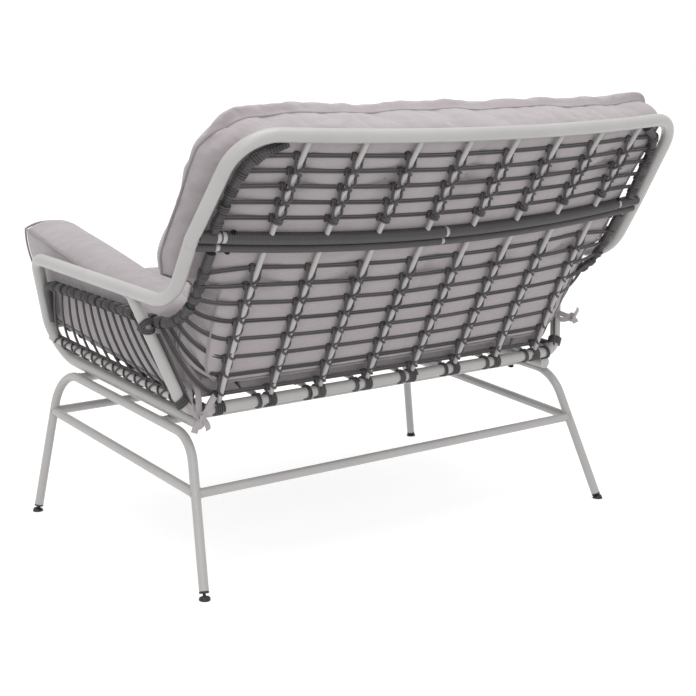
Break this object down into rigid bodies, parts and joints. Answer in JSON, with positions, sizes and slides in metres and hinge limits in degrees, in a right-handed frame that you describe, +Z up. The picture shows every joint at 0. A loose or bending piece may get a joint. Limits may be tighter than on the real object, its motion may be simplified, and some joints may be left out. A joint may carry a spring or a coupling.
{
  "type": "rattan garden sofa",
  "caption": "Garden sofa with a woven shell of bent steel tube, reclined ribbed back, loose padded cushions and a tube base on levelling glides.",
  "frame": {"origin": "on the ground, under the middle of the sofa's outline", "axes": "+X to the sitter's left, -Y to the front, +Z up"},
  "size_m": [1.1084, 0.9002, 0.8659],
  "materials": {
    "frame_paint": "light warm grey powder coat, satin",
    "wicker": "charcoal grey-brown round PE strand, fine grain",
    "cushion_fabric": "pinkish light grey plain-woven outdoor cloth",
    "foot_plastic": "black moulded plastic",
    "glide_plastic": "black moulded plastic",
    "bolt_steel": "black coated steel"
  },
  "bodies": {
    "sofa": {"arm_cushion_left": "cushion_fabric", "arm_cushion_right": "cushion_fabric", "arm_loop_left": "frame_paint", "arm_loop_right": "frame_paint", "arm_weave_left": "wicker", "arm_weave_right": "wicker", "back_cushion": "cushion_fabric", "back_loop": "frame_paint", "back_weave_lower": "wicker", "back_weave_upper": "wicker", "border_rail_left": "frame_paint", "border_rail_right": "frame_paint", "crossbar_bolt_left": "bolt_steel", "crossbar_bolt_right": "bolt_steel", "crossbar_lower": "wicker", "crossbar_upper": "wicker", "foot_plug_front_left": "foot_plastic", "foot_plug_front_right": "foot_plastic", "foot_plug_rear_left": "foot_plastic", "foot_plug_rear_right": "foot_plastic", "front_cross_tube": "frame_paint", "front_stretcher": "frame_paint", "inner_rail_lower_left": "wicker", "inner_rail_lower_right": "wicker", "inner_rail_upper_left": "wicker", "inner_rail_upper_right": "wicker", "leg_loop_left": "frame_paint", "leg_loop_right": "frame_paint", "rear_cross_tube": "frame_paint", "rear_rail_and_posts": "frame_paint", "rear_stretcher": "frame_paint", "rib_lower_1": "frame_paint", "rib_lower_2": "frame_paint", "rib_lower_3": "frame_paint", "rib_lower_4": "frame_paint", "rib_lower_5": "frame_paint", "rib_lower_6": "frame_paint", "rib_lower_7": "frame_paint", "rib_lower_8": "frame_paint", "rib_upper_1": "frame_paint", "rib_upper_2": "frame_paint", "rib_upper_3": "frame_paint", "rib_upper_4": "frame_paint", "rib_upper_5": "frame_paint", "rib_upper_6": "frame_paint", "rib_upper_7": "frame_paint", "rib_upper_8": "frame_paint", "seat_cushion": "cushion_fabric", "seat_grid": "frame_paint", "seat_weave": "wicker", "shell_bolt_front_left": "bolt_steel", "shell_bolt_front_right": "bolt_steel", "shell_bolt_rear_left": "bolt_steel", "shell_bolt_rear_right": "bolt_steel", "side_stretcher_left": "frame_paint", "side_stretcher_right": "frame_paint"},
    "glide_front_left": {"glide_front_left": "glide_plastic"},
    "glide_front_right": {"glide_front_right": "glide_plastic"},
    "glide_rear_left": {"glide_rear_left": "glide_plastic"},
    "glide_rear_right": {"glide_rear_right": "glide_plastic"}
  },
  "joints": [
    {"name": "level_front_left", "type": "slide", "parent": "sofa", "child": "glide_front_left", "axis": [0.1701, -0.0834, -0.9819], "range_m": [-0.004, 0.008]},
    {"name": "level_front_right", "type": "slide", "parent": "sofa", "child": "glide_front_right", "axis": [-0.1701, -0.0834, -0.9819], "range_m": [0, 0.012]},
    {"name": "level_rear_left", "type": "slide", "parent": "sofa", "child": "glide_rear_left", "axis": [0.1431, 0.3646, -0.9201], "range_m": [-0.004, 0.008]},
    {"name": "level_rear_right", "type": "slide", "parent": "sofa", "child": "glide_rear_right", "axis": [-0.1431, 0.3646, -0.9201], "range_m": [0, 0.012]}
  ]
}
